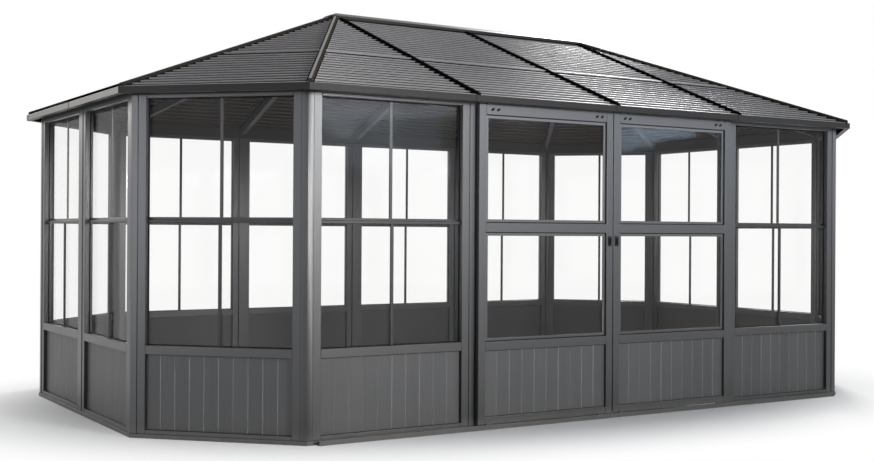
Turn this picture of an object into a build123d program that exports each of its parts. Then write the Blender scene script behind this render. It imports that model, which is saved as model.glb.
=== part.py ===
"""A glazed metal garden room on an elongated octagon, with a stepped metal hip roof and two sliding doors.

Millimetres. +Z is up, +X runs along the front to the right, the front faces -Y,
and the origin lies on the ground in the middle of the plan.
"""
import os
from math import cos, radians, sin, sqrt, tan

from build123d import *

os.makedirs("parts", exist_ok=True)

# Plan of the walls, on the outer faces of the posts
front_half = 2250
end_half = 1070
corner_run = 785
corner_turn = 45

# Heights of the walls and the roof slopes
wall_top = 2050
eave_top = 2091
ridge_line = 2862
overhang = 97

# Base rails, posts and eave beams
wall_depth = 70
base_height = 25
base_lip = 6
corner_leg = 40
post_width = 50
jamb_width = 70
doorway_half = 1060
joint_gap = 0.4
seat_gap = 0.3

# Fixed window panels
frame_setback = 4
frame_depth = 54
stile_width = 52
bottom_rail = 23
top_rail = 20
board_top = 500
sill_rail = 53
glass_thickness = 6
glass_setback = 42
board_thickness = 14
board_setback = 26

# Sliding doors
door_lap = 25
door_meeting = 3
door_clearance = 8
door_thickness = 30
door_lift = 8
door_top = 2043
door_stile = 54
door_bottom_rail = 45
door_board_top = 495
door_sill_rail = 56
door_mid_rail_low = 1240
door_mid_rail = 60
door_top_rail = 63
door_glass_setback = 21
door_board_setback = 15

# Door latches and runners
latch_width = 30
latch_height = 66
latch_plate = 5
latch_corner = 6
latch_low = 1152
pull_width = 11
pull_height = 40
pull_depth = 13
pull_round = 3
roller_radius = 11
roller_width = 12
runner_length = 46
runner_width = 14
runner_end_gap = 90
guide_height = 19

# Door tracks on the front
track_end_gap = 60
track_width = 48
track_wall = 5
track_floor = 6
track_lip_rise = 3
head_track_height = 24

# Roof sheets, with one small step down at the nose of each course
course_count = 31
lower_course_count = 13
course_step = 14
sheet_thickness = 6
sheet_gap = 4
crown_gap = 60

# Roof frame under the sheets
rafter_width = 40
rafter_depth = 60
ridge_beam_depth = 80
hub_radius = 85
hub_depth = 95

# Covers over the joints of the roof, and the trim along the eaves
cover_width = 44
cover_height = 20
hip_flat_height = 17
cap_half_width = 90
cap_height = 25
fascia_thickness = 12
fascia_flange = 26
fascia_flange_thickness = 5

ridge_half = front_half / 2
door_half = doorway_half + door_lap
door_bottom = base_height + door_lift
track_lip_top = base_height + track_lip_rise
half_length = front_half + corner_run
half_depth = end_half + corner_run
sheet_depth = course_step + sheet_thickness
mitre = tan(radians(corner_turn / 2))
up = Vector(0, 0, 1)


class Wall:
    """One side of the octagon, with the roof slope that rises from it."""

    def __init__(self, angle, centre_x, centre_y, half):
        self.normal = Vector(cos(radians(angle)), sin(radians(angle)), 0)
        self.along = Vector(-self.normal.Y, self.normal.X, 0)
        self.centre = Vector(centre_x, centre_y, 0)
        self.half = half
        self.face = Plane(origin=self.centre, x_dir=self.along, z_dir=self.normal)
        self.plan = Plane(origin=self.centre, x_dir=self.along, z_dir=up)
        self.eave_middle = self.centre + self.normal * overhang
        ends = [Vector(side * ridge_half, 0, 0) for side in (-1, 1)]
        near = max((end - self.centre).dot(self.normal) for end in ends)
        self.apexes = sorted((end - self.centre).dot(self.along) for end in ends
                             if abs((end - self.centre).dot(self.normal) - near) < joint_gap)
        self.reach = overhang - near
        self.slope = (ridge_line - eave_top) / self.reach

    def half_at(self, inward):
        """Half the length of the side at that distance in from the outer face."""
        return self.half - inward * mitre

    def slope_plane(self, lift):
        """The roof slope over this side, lifted by that much."""
        origin = self.eave_middle + up * (eave_top + lift)
        return Plane(origin=origin, x_dir=self.along, z_dir=self.normal * self.slope + up)

    def strip(self, outward, inward):
        """The plan of a mitred rail along the side, from outside the outer face to inside it."""
        outer, inner = self.half_at(-outward) - joint_gap, self.half_at(inward) - joint_gap
        return [(-outer, -outward), (outer, -outward), (inner, inward), (-inner, inward)]


corner_half = corner_run / sqrt(2)
corner_x, corner_y = front_half + corner_run / 2, end_half + corner_run / 2
front = Wall(-90, 0, -half_depth, front_half)
back = Wall(90, 0, half_depth, front_half)
ends = [Wall(180, -half_length, 0, end_half), Wall(0, half_length, 0, end_half)]
corners = [
    Wall(-135, -corner_x, -corner_y, corner_half),
    Wall(-45, corner_x, -corner_y, corner_half),
    Wall(45, corner_x, corner_y, corner_half),
    Wall(135, -corner_x, corner_y, corner_half),
]
walls = [front, back, *ends, *corners]


def save(part, name):
    part.label = name
    export_step(part, f"parts/{name}.step")


def gather(pieces):
    """Loose solids of one kind, as one part."""
    with BuildPart() as together:
        add(pieces)
    return together.part


def octagon(outward):
    """Corners of the plan, moved out from the outer faces of the posts."""
    long_x, long_y = front_half + outward * mitre, half_depth + outward
    end_x, end_y = half_length + outward, end_half + outward * mitre
    quarter = [(long_x, long_y), (end_x, end_y)]
    right = [*quarter, *[(x, -y) for x, y in reversed(quarter)]]
    return right + [(-x, -y) for x, y in right]


def roof_body(lift):
    """All that lies under the eight slopes, when they are lifted by that much."""
    with BuildPart() as body:
        with BuildSketch():
            Polygon(*octagon(overhang), align=None)
        extrude(amount=ridge_line + cap_height)
        for wall in walls:
            split(bisect_by=wall.slope_plane(lift), keep=Keep.BOTTOM)
    return body.part


# Slopes that the pieces of the roof are cut to
below_sheets = roof_body(-sheet_depth)
below_noses = roof_body(0)
below_cover_tops = roof_body(cover_height)
below_cap_top = roof_body(cap_height)

# Base rails on the ground
with BuildPart() as base_rails:
    for wall in walls:
        with BuildSketch(wall.plan):
            Polygon(*wall.strip(base_lip, wall_depth), align=None)
        extrude(amount=base_height)
save(base_rails.part, "base_rails")

# Eave beams on the posts, bevelled to the slopes
with BuildPart() as eave_beams:
    for wall in walls:
        with BuildSketch(wall.plan.offset(wall_top)):
            Polygon(*wall.strip(0, wall_depth), align=None)
        extrude(amount=ridge_line - wall_top)
    add(below_sheets, mode=Mode.INTERSECT)
save(eave_beams.part, "eave_beams")

# Corner posts, each with a leg along the two walls that meet there
corner_ring = [corners[0], front, corners[1], ends[1], corners[2], back, corners[3], ends[0]]
with BuildPart() as corner_posts:
    for wall, following in zip(corner_ring, corner_ring[1:] + corner_ring[:1]):
        legs = [
            wall.plan.from_local_coords((wall.half, 0, 0)),
            following.plan.from_local_coords((corner_leg - following.half, 0, 0)),
            following.plan.from_local_coords((corner_leg - following.half, wall_depth, 0)),
            wall.plan.from_local_coords((wall.half - corner_leg, wall_depth, 0)),
            wall.plan.from_local_coords((wall.half - corner_leg, 0, 0)),
        ]
        with BuildSketch(Plane.XY.offset(base_height)):
            Polygon(*[(point.X, point.Y) for point in legs], align=None)
        extrude(amount=wall_top - base_height)
save(corner_posts.part, "corner_posts")

# Posts between the window panels, and the two jambs of the doorway
back_posts = [-front_half / 2, 0, front_half / 2]
post_places = [(back, place) for place in back_posts] + [(wall, 0) for wall in ends]
with BuildPart() as wall_posts:
    for wall, place in post_places:
        with BuildSketch(wall.plan.offset(base_height)):
            with Locations((place, wall_depth / 2)):
                Rectangle(post_width, wall_depth)
        extrude(amount=wall_top - base_height)
save(wall_posts.part, "wall_posts")

jamb_middle = doorway_half + jamb_width / 2
with BuildPart() as door_jambs:
    with BuildSketch(front.plan.offset(base_height)):
        with Locations((-jamb_middle, wall_depth / 2), (jamb_middle, wall_depth / 2)):
            Rectangle(jamb_width, wall_depth)
    extrude(amount=wall_top - base_height)
save(door_jambs.part, "door_jambs")


# Fixed window panels
def bar(left, right, low, high):
    """A rectangle in the open sketch, between two sides and two heights."""
    with Locations(((left + right) / 2, (low + high) / 2)):
        Rectangle(right - left, high - low)


def frame_bars(left, right):
    """Two stiles and three rails of a panel."""
    inner_left, inner_right = left + stile_width + joint_gap, right - stile_width - joint_gap
    bar(left, left + stile_width, base_height, wall_top)
    bar(right - stile_width, right, base_height, wall_top)
    bar(inner_left, inner_right, base_height, base_height + bottom_rail)
    bar(inner_left, inner_right, board_top, board_top + sill_rail)
    bar(inner_left, inner_right, wall_top - top_rail, wall_top)


def bays_between(stops, half_post):
    """Left and right ends of the panels between posts at those places."""
    return [(left + half_post, right - half_post) for left, right in zip(stops, stops[1:])]


def open_ends(wall, bays):
    """The same bays, with the first and the last reaching to the corner posts."""
    spans = [list(bay) for bay in bays]
    spans[0][0] = corner_leg - wall.half
    spans[-1][1] = wall.half - corner_leg
    return spans


jamb_outside = doorway_half + jamb_width
front_stop = front_half - corner_leg
end_stops = [-end_half, 0, end_half]
back_stops = [-front_half, *back_posts, front_half]
panel_bays = {
    "front": [(front, (-front_stop, -jamb_outside)), (front, (jamb_outside, front_stop))],
    "back": [(back, bay) for bay in open_ends(back, bays_between(back_stops, post_width / 2))],
    "end": [(wall, bay) for wall in ends for bay in open_ends(wall, bays_between(end_stops, post_width / 2))],
    "corner": [(wall, bay) for wall in corners for bay in open_ends(wall, [(-wall.half, wall.half)])],
}

for group, bays in panel_bays.items():
    with BuildPart() as frames:
        for wall, (left, right) in bays:
            with BuildSketch(wall.face.offset(-frame_setback)):
                frame_bars(left, right)
            extrude(amount=-frame_depth)
    save(frames.part, f"{group}_frames")

    with BuildPart() as panes:
        for wall, (left, right) in bays:
            with BuildSketch(wall.face.offset(-glass_setback)):
                bar(left + stile_width, right - stile_width, board_top + sill_rail, wall_top - top_rail)
            extrude(amount=-glass_thickness)
    save(panes.part, f"{group}_glass")

    with BuildPart() as boards:
        for wall, (left, right) in bays:
            with BuildSketch(wall.face.offset(-board_setback)):
                bar(left + stile_width, right - stile_width, base_height + bottom_rail, board_top)
            extrude(amount=-board_thickness)
    save(boards.part, f"{group}_boards")

# Door tracks: an open gutter on the ground and an inverted one under the eave
track_half = front_half - track_end_gap
track_section = Plane(origin=front.centre, x_dir=front.normal, z_dir=-front.along)
with BuildPart() as door_track:
    with BuildSketch(track_section):
        bar(base_lip, track_width, 0, track_floor)
        bar(track_width - track_wall, track_width, 0, track_lip_top)
    extrude(amount=track_half, both=True)
save(door_track.part, "door_track")

head_track_top = wall_top + head_track_height
with BuildPart() as head_track:
    with BuildSketch(track_section):
        bar(0, track_width, head_track_top - track_wall, head_track_top)
        bar(0, track_wall, wall_top, head_track_top)
        bar(track_width - track_wall, track_width, wall_top, head_track_top)
    extrude(amount=track_half, both=True)
save(head_track.part, "door_head_track")

# Sliding doors
door_back = front.face.offset(door_clearance)
door_front = front.face.offset(door_clearance + door_thickness)
door_middle = door_clearance + door_thickness / 2
door_glass_low = door_board_top + door_sill_rail
door_glass_high = door_top - door_top_rail
door_mid_rail_high = door_mid_rail_low + door_mid_rail


def door_frame(left, right):
    inner_left, inner_right = left + door_stile + joint_gap, right - door_stile - joint_gap
    rails = [
        (door_bottom, door_bottom + door_bottom_rail),
        (door_board_top, door_glass_low),
        (door_mid_rail_low, door_mid_rail_high),
        (door_glass_high, door_top),
    ]
    with BuildPart() as frame:
        with BuildSketch(door_back):
            bar(left, left + door_stile, door_bottom, door_top)
            bar(right - door_stile, right, door_bottom, door_top)
            for low, high in rails:
                bar(inner_left, inner_right, low, high)
        extrude(amount=door_thickness)
    return frame.part


def door_glass(left, right):
    with BuildPart() as panes:
        with BuildSketch(door_front.offset(-door_glass_setback)):
            bar(left + door_stile, right - door_stile, door_glass_low, door_mid_rail_low)
            bar(left + door_stile, right - door_stile, door_mid_rail_high, door_glass_high)
        extrude(amount=-glass_thickness)
    return panes.part


def door_board(left, right):
    with BuildPart() as board:
        with BuildSketch(door_front.offset(-door_board_setback)):
            bar(left + door_stile, right - door_stile, door_bottom + door_bottom_rail, door_board_top)
        extrude(amount=-board_thickness)
    return board.part


def door_latch(stile_middle):
    """A face plate with a raised finger pull."""
    middle = (stile_middle, latch_low + latch_height / 2)
    with BuildPart() as latch:
        with BuildSketch(door_front):
            with Locations(middle):
                RectangleRounded(latch_width, latch_height, latch_corner)
        extrude(amount=latch_plate)
        with BuildSketch(door_front.offset(latch_plate)):
            with Locations(middle):
                Rectangle(pull_width, pull_height)
        extrude(amount=pull_depth)
        fillet(latch.faces().sort_by(Axis.Y)[0].edges(), pull_round)
    return latch.part


def door_runners(left, right):
    """Two rollers that ride in the ground track, and two guides that run in the head track."""
    axle_height = track_floor + seat_gap + roller_radius
    with BuildPart() as runners:
        for place in (left + runner_end_gap, right - runner_end_gap):
            with BuildSketch(front.face.offset(door_middle)):
                with Locations((place, axle_height)):
                    Circle(roller_radius)
            extrude(amount=roller_width / 2, both=True)
            with BuildSketch(front.face.offset(door_middle)):
                bar(place - runner_length / 2, place + runner_length / 2, axle_height, door_bottom)
            extrude(amount=runner_width / 2, both=True)
            with BuildSketch(front.face.offset(door_middle)):
                bar(place - runner_length / 2, place + runner_length / 2, door_top, door_top + guide_height)
            extrude(amount=runner_width / 2, both=True)
    return runners.part


door_spans = {"left": (-door_half, -door_meeting), "right": (door_meeting, door_half)}
for hand, (left, right) in door_spans.items():
    meeting_edge = min(left, right, key=abs)
    stile_middle = meeting_edge + (door_stile / 2 if hand == "right" else -door_stile / 2)
    save(door_frame(left, right), f"{hand}_door_frame")
    save(door_glass(left, right), f"{hand}_door_glass")
    save(door_board(left, right), f"{hand}_door_board")
    save(door_latch(stile_middle), f"{hand}_door_latch")
    save(door_runners(left, right), f"{hand}_door_runners")


# Lines in plan that the ribs and the hips follow, from the ridge to the eave
def foot_at(wall, place):
    return wall.plan.from_local_coords((place, -overhang, 0))


def nearest_ridge_end(wall):
    return Vector(ridge_half if wall.centre.X > 0 else -ridge_half, 0, 0)


hub_ribs = [(Vector(side * ridge_half, 0, 0), foot_at(wall, place))
            for wall in (front, back)
            for side, place in ((wall.along.X, ridge_half), (-wall.along.X, -ridge_half))]
hub_ribs += [(nearest_ridge_end(wall), foot_at(wall, 0)) for wall in ends]
middle_ribs = [(Vector(0, 0, 0), foot_at(wall, 0)) for wall in (front, back)]
hips = [(nearest_ridge_end(wall), foot_at(wall, side * wall.half_at(-overhang)))
        for wall in corners for side in (-1, 1)]


def sloping_bars(lines, start, width, high, low):
    """Bars that follow the slopes, from that far out of the ridge to the eave."""
    with BuildPart() as bars:
        for apex, foot in lines:
            run = (foot - apex).length
            fall = (ridge_line - eave_top) / run
            heading = (foot - apex).normalized()
            start_height = ridge_line - fall * start
            with BuildSketch(Plane(origin=apex, x_dir=heading, z_dir=heading.cross(up))):
                Polygon(
                    (start, start_height + low),
                    (run, eave_top + low),
                    (run, eave_top + high),
                    (start, start_height + high),
                    align=None,
                )
            extrude(amount=width / 2, both=True)
    return bars.part


# Roof frame: rafters from the eave beams up to two hubs and the ridge beam
rafter_low = -sheet_depth - rafter_depth
with BuildPart() as inside_beams:
    with BuildSketch():
        Polygon(*octagon(-wall_depth), align=None)
    extrude(amount=ridge_line)
    add(below_sheets, mode=Mode.INTERSECT)

hip_rafter_bars = sloping_bars(hips, hub_radius + seat_gap, rafter_width, 0, rafter_low)
with BuildPart() as hip_rafters:
    add(hip_rafter_bars)
    add(inside_beams.part, mode=Mode.INTERSECT)
save(hip_rafters.part, "hip_rafters")

hub_rafter_bars = sloping_bars(hub_ribs, hub_radius + seat_gap, rafter_width, 0, rafter_low)
middle_rafter_bars = sloping_bars(middle_ribs, rafter_width / 2, rafter_width, 0, rafter_low)
with BuildPart() as rib_rafters:
    add([hub_rafter_bars, middle_rafter_bars])
    add(inside_beams.part, mode=Mode.INTERSECT)
save(rib_rafters.part, "rib_rafters")

with BuildPart() as crown_hubs:
    with BuildSketch(Plane.XY.offset(ridge_line - sheet_depth - hub_depth)):
        with Locations((-ridge_half, 0), (ridge_half, 0)):
            Circle(hub_radius)
    extrude(amount=hub_depth)
    add(below_sheets, mode=Mode.INTERSECT)
save(crown_hubs.part, "crown_hubs")

with BuildPart() as ridge_beam:
    with BuildSketch(Plane.XY.offset(ridge_line - sheet_depth - ridge_beam_depth)):
        Rectangle(2 * (ridge_half - hub_radius - seat_gap), rafter_width)
    extrude(amount=ridge_beam_depth)
    add(below_sheets, mode=Mode.INTERSECT)
save(ridge_beam.part, "ridge_beam")


# Roof sheets
def stepped_section(wall, first, last):
    """Section of the courses up the slope: each falls by one step below the nose of the next."""
    pitch = (wall.reach - fascia_thickness - crown_gap) / course_count
    noses = [fascia_thickness + pitch * count for count in range(first, last + 1)]
    heights = [eave_top + wall.slope * nose for nose in noses]
    outline = [(noses[-1], heights[-1] - sheet_depth), (noses[0], heights[0] - sheet_depth)]
    for count in range(last - first):
        outline.append((noses[count], heights[count]))
        outline.append((noses[count + 1], heights[count + 1] - course_step))
    return outline, noses[0], noses[-1]


def sheet_bays(wall):
    """Left and right edges of the bays of a slope, as places at the eave and at the ridge."""
    half = wall.half_at(-overhang)
    left_hip, right_hip = (-half, wall.apexes[0]), (half, wall.apexes[-1])
    if wall in (front, back):
        ribs = [(place, place) for place in (-ridge_half, 0, ridge_half)]
    elif wall in ends:
        ribs = [(0, 0)]
    else:
        ribs = []
    lines = [left_hip, *ribs, right_hip]
    return list(zip(lines, lines[1:]))


def edge_at(wall, line, inward):
    return line[0] + (line[1] - line[0]) * inward / wall.reach


def roof_sheets(wall, first, last):
    """The sheets of one slope between two courses, cut apart under the ribs and hips."""
    section, low, high = stepped_section(wall, first, last)
    with BuildPart() as sheets:
        with BuildSketch(Plane(origin=wall.eave_middle, x_dir=-wall.normal, z_dir=wall.along)):
            Polygon(*section, align=None)
        extrude(amount=wall.half_at(-overhang), both=True)
        with BuildSketch(wall.plan):
            for left, right in sheet_bays(wall):
                Polygon(
                    (edge_at(wall, left, low) + sheet_gap, low - overhang),
                    (edge_at(wall, right, low) - sheet_gap, low - overhang),
                    (edge_at(wall, right, high) - sheet_gap, high - overhang),
                    (edge_at(wall, left, high) + sheet_gap, high - overhang),
                    align=None,
                )
        extrude(amount=ridge_line, mode=Mode.INTERSECT)
    return sheets.part


slope_groups = {"front": [front], "back": [back], "end": ends, "corner": corners}
for group, group_walls in slope_groups.items():
    lower = [roof_sheets(wall, 0, lower_course_count) for wall in group_walls]
    upper = [roof_sheets(wall, lower_course_count, course_count) for wall in group_walls]
    save(gather(lower), f"roof_{group}_lower")
    save(gather(upper), f"roof_{group}_upper")


# Covers and trim
def cap_plan(reach):
    """Plan of the ridge cap: the ridge line, widened all round."""
    quarter = [(ridge_half + reach * mitre, reach), (ridge_half + reach, reach * mitre)]
    right = [*quarter, *[(x, -y) for x, y in reversed(quarter)]]
    return right + [(-x, -y) for x, y in right]


with BuildPart() as cap_room:
    with BuildSketch(Plane.XY.offset(wall_top)):
        Polygon(*cap_plan(cap_half_width + seat_gap), align=None)
    extrude(amount=ridge_line)

ribs = hub_ribs + middle_ribs
rib_cover_bars = sloping_bars(ribs, cap_half_width, cover_width, cover_height, -cover_height)
with BuildPart() as rib_covers:
    add(rib_cover_bars)
    add(below_cover_tops, mode=Mode.INTERSECT)
    add(below_noses, mode=Mode.SUBTRACT)
    add(cap_room.part, mode=Mode.SUBTRACT)
save(rib_covers.part, "rib_covers")

hip_cover_bars = sloping_bars(hips, cap_half_width, cover_width, hip_flat_height, -cover_height)
with BuildPart() as hip_covers:
    add(hip_cover_bars)
    add(below_cover_tops, mode=Mode.INTERSECT)
    add(below_noses, mode=Mode.SUBTRACT)
    add(cap_room.part, mode=Mode.SUBTRACT)
save(hip_covers.part, "hip_covers")

with BuildPart() as ridge_cap:
    with BuildSketch(Plane.XY.offset(wall_top)):
        Polygon(*cap_plan(cap_half_width), align=None)
    extrude(amount=ridge_line)
    add(below_cap_top, mode=Mode.INTERSECT)
    add(below_noses, mode=Mode.SUBTRACT)
save(ridge_cap.part, "ridge_cap")

with BuildPart() as eave_fascia:
    for wall in walls:
        with BuildSketch(wall.plan.offset(wall_top)):
            Polygon(*wall.strip(overhang, fascia_thickness - overhang), align=None)
        extrude(amount=eave_top - wall_top)
        with BuildSketch(wall.plan.offset(wall_top)):
            Polygon(*wall.strip(overhang, fascia_thickness + fascia_flange - overhang), align=None)
        extrude(amount=fascia_flange_thickness)
save(eave_fascia.part, "eave_fascia")
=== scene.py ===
# %% [markdown]
# # Dressing a glazed garden room
# The solids of the room come from CAD: an elongated octagon of posts and window panels, two sliding doors
# and a stepped metal hip roof. Here they get their finishes, and the small things that make them look real.
# Everything is in metres, with the front facing -Y and the ground at zero.

# %% Load the frame
from math import cos, radians, sin, sqrt, tan
from random import Random

import bmesh
import bpy
from mathutils import Matrix, Vector


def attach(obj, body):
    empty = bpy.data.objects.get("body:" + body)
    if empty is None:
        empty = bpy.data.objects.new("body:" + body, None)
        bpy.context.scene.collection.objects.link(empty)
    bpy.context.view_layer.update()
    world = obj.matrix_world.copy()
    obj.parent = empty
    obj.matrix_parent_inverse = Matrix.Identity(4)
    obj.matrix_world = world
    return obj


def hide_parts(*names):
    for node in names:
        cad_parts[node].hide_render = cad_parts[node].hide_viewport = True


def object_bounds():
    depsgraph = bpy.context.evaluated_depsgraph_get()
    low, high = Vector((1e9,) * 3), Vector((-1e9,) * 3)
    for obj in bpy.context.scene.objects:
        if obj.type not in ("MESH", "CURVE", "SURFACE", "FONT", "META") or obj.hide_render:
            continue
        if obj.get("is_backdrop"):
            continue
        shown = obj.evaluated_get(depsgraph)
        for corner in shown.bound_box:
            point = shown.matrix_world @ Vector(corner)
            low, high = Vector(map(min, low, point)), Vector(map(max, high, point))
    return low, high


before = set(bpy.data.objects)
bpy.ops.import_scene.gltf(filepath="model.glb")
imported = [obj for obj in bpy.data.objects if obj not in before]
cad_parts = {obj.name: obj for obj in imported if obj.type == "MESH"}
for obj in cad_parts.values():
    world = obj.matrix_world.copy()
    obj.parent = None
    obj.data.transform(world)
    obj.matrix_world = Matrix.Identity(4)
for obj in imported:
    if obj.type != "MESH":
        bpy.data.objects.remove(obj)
cad_low, cad_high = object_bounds()
print("solids loaded:", len(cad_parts), "in a box of", [round(side, 3) for side in cad_high - cad_low])

# %% [markdown]
# ## The camera
# The photograph was taken from the front left at about the height of the window bars. A camera is fixed by its place,
# three turns and the focal length, so those six numbers and the lens are written down, and its matrix is
# built from its own right, up and forward directions. That is easier to check than Euler angles.

# %% Camera
image_width = 874
camera_place = Vector((-5.3523, -8.259, 1.2421))
camera_yaw, camera_pitch, camera_roll = 0.5563, 0.0009, 0.0058
focal_pixels = 1225.57

forward = Vector((sin(camera_yaw) * cos(camera_pitch), cos(camera_yaw) * cos(camera_pitch), sin(camera_pitch)))
level_right = Vector((cos(camera_yaw), -sin(camera_yaw), 0))
level_up = level_right.cross(forward)
right = level_right * cos(camera_roll) + level_up * sin(camera_roll)
upward = level_up * cos(camera_roll) - level_right * sin(camera_roll)

camera_data = bpy.data.cameras.new("camera")
camera_data.sensor_fit = "HORIZONTAL"
camera_data.lens = focal_pixels / image_width * camera_data.sensor_width
camera = bpy.data.objects.new("camera", camera_data)
turn = Matrix((right, upward, -forward)).transposed()
camera.matrix_world = Matrix.Translation(camera_place) @ turn.to_4x4()
bpy.context.scene.collection.objects.link(camera)
bpy.context.scene.camera = camera
bpy.context.scene.view_settings.view_transform = "Standard"
print("lens", round(camera_data.lens, 2), "mm")

# %% [markdown]
# ## Shader maths as plain expressions
# A material is a net of nodes. Wiring each Math node by hand hides the idea, so one small class wraps an output
# socket: `a * b + 0.2` then adds the nodes itself. Every other node comes from its `node` method,
# which takes the type, the settings and the values or wires of the sockets.


# %% Wires
class Wire:
    """An output of a shader node. Sums and products of wires add Math nodes to its tree."""

    def __init__(self, tree, socket=None):
        self.tree, self.socket = tree, socket

    def node(self, kind, settings=None, sockets=None, output=0):
        made = self.tree.nodes.new("ShaderNode" + kind)
        for name, value in (settings or {}).items():
            setattr(made, name, value)
        for name, value in (sockets or {}).items():
            if isinstance(value, Wire):
                self.tree.links.new(value.socket, made.inputs[name])
            else:
                made.inputs[name].default_value = value
        return Wire(self.tree, made.outputs[output] if made.outputs else None)

    def math(self, operation, *values):
        return self.node("Math", {"operation": operation}, dict(enumerate(values)))

    def __add__(self, other):
        return self.math("ADD", self, other)

    def __radd__(self, other):
        return self.math("ADD", other, self)

    def __sub__(self, other):
        return self.math("SUBTRACT", self, other)

    def __rsub__(self, other):
        return self.math("SUBTRACT", other, self)

    def __mul__(self, other):
        return self.math("MULTIPLY", self, other)

    def __rmul__(self, other):
        return self.math("MULTIPLY", other, self)

    def __pow__(self, other):
        return self.math("POWER", self, other)

    def most(self, other):
        return self.math("MAXIMUM", self, other)

    def noise(self, scale, detail=2.0):
        """A grey cloud that swings about one half, read at this place."""
        return self.node("TexNoise", {}, {"Vector": self, "Scale": scale, "Detail": detail})

    def stretched(self, scale):
        """This place, measured with another scale along each axis."""
        return self.node("Mapping", {}, {"Vector": self, "Scale": scale})

    def height(self):
        return self.node("SeparateXYZ", {}, {0: self}, "Z")

    def fade(self, start, stop):
        """One below start, none past stop, with a soft change between."""
        ends = {"Value": self, "From Min": start, "From Max": stop, "To Min": 1.0, "To Max": 0.0}
        return self.node("MapRange", {"interpolation_type": "SMOOTHSTEP"}, ends)

    def tint(self, dark, light):
        """A colour between two, by this share."""
        return self.node("Mix", {"data_type": "RGBA"}, {0: self, 6: (*dark, 1), 7: (*light, 1)}, 2)

    def over(self, under, colour):
        """A colour laid over another wire's colour, by this share."""
        return self.node("Mix", {"data_type": "RGBA"}, {0: self, 6: under, 7: (*colour, 1)}, 2)

    def relief(self, depth):
        """A normal bent by this height, as deep as that."""
        return self.node("Bump", {}, {"Height": self, "Distance": depth})


def new_finish(name):
    """A fresh material, and the wire of the place on the piece."""
    material = bpy.data.materials.new(name)
    material.use_nodes = True
    material.node_tree.nodes.clear()
    return material, Wire(material.node_tree).node("TexCoord", output="Object")


def close_finish(material, place, sockets):
    """Ends a material in one Principled shader."""
    shader = place.node("BsdfPrincipled", {}, sockets)
    place.node("OutputMaterial", {}, {"Surface": shader})
    return material


print("shader helpers ready")

# %% [markdown]
# ## Charcoal powder coat
# Posts, rails and door frames are aluminium with a baked powder coat: dark, half glossy, with a fine orange peel.
# A flat grey would look like plastic, so broad clouds shift the tone and tiny bumps break up the highlights. Towards
# the ground the coat is painted darker, as painted shade, and pale dust lies on what touches the ground. Beads, bars,
# trim and covers have the same coat in other tones, so one recipe makes them all; the near-black rib coat and the hip
# top and skirt coats are painted shade and painted light.

# %% Coats
dust_colour, painted_shade_colour = (0.135, 0.125, 0.112), (0.008, 0.0078, 0.0075)


def coat_finish(name, dark, light, rough, gloss, dust=0.0):
    material, place = new_finish(name)
    clouds = place.noise(1.6, 4.0)
    grain = place.noise(520.0)
    runs = place.stretched((24.0, 24.0, 0.9)).noise(1.0, 3.0)
    dusty = place.height().fade(0.01, 0.10) * (0.35 + place.noise(9.0, 5.0)) * dust
    # painted shade: the coat is darker towards the ground
    painted_shade = place.height().fade(0.15, 1.7) * (0.55 + clouds * 0.6)
    colour = painted_shade.over((clouds * 0.65 + runs * 0.35).tint(dark, light), painted_shade_colour)
    return close_finish(material, place, {
        "Base Color": dusty.over(colour, dust_colour),
        "Roughness": rough - 0.06 + clouds * 0.10 + grain * 0.06 + dusty * 0.2,
        "Specular IOR Level": gloss,
        "Normal": grain.relief(0.0002),
    })


coats = {
    "charcoal": coat_finish("charcoal_coat", (0.041, 0.0413, 0.0445), (0.068, 0.0684, 0.0737), 0.34, 0.7, 0.5),
    "bead": coat_finish("bead_coat", (0.066, 0.067, 0.072), (0.100, 0.101, 0.108), 0.30, 0.7),
    "bar": coat_finish("bar_coat", (0.020, 0.020, 0.021), (0.036, 0.036, 0.038), 0.40, 0.4),
    "fascia": coat_finish("fascia_coat", (0.011, 0.0100, 0.0094), (0.020, 0.0183, 0.0172), 0.44, 0.2),
    # cover and skirt: one hip sheet, as a painted-light top coat and a painted-shade skirt coat
    "cover": coat_finish("hip_top_painted_light_coat", (0.064, 0.0565, 0.0500), (0.102, 0.0900, 0.0800), 0.40, 0.26),
    "skirt": coat_finish("skirt_painted_shade_coat", (0.032, 0.0282, 0.0245), (0.050, 0.0441, 0.0383), 0.66, 0.0),
    # rib: near black and matt, painted shade for the rib covers and the strips under the covers
    "rib": coat_finish("rib_painted_shade_coat", (0.005, 0.0047, 0.0045), (0.010, 0.0094, 0.009), 0.70, 0.0),
    "beam": coat_finish("beam_coat", (0.026, 0.023, 0.0215), (0.042, 0.037, 0.035), 0.5, 0.25),
}
print("coats:", ", ".join(coats))

# %% [markdown]
# ## Embossed roof steel
# The roof sheets are thin steel, pressed into small courses and stippled all over, so that they glitter
# where the sky is bright. The stipple is a Voronoi pattern used as bump and as a faint change of tone;
# long soft streaks across the slope stand for rain marks. Most of the tone is painted light by the way a face looks:
# noses are painted lightest as a highlight, risers lighter and treads darker. The crease at the foot of each course is
# painted near black and matt, as painted shade under the nose above, and the underside has a plain brown lining coat,
# so each of them is a finish of its own.


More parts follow.
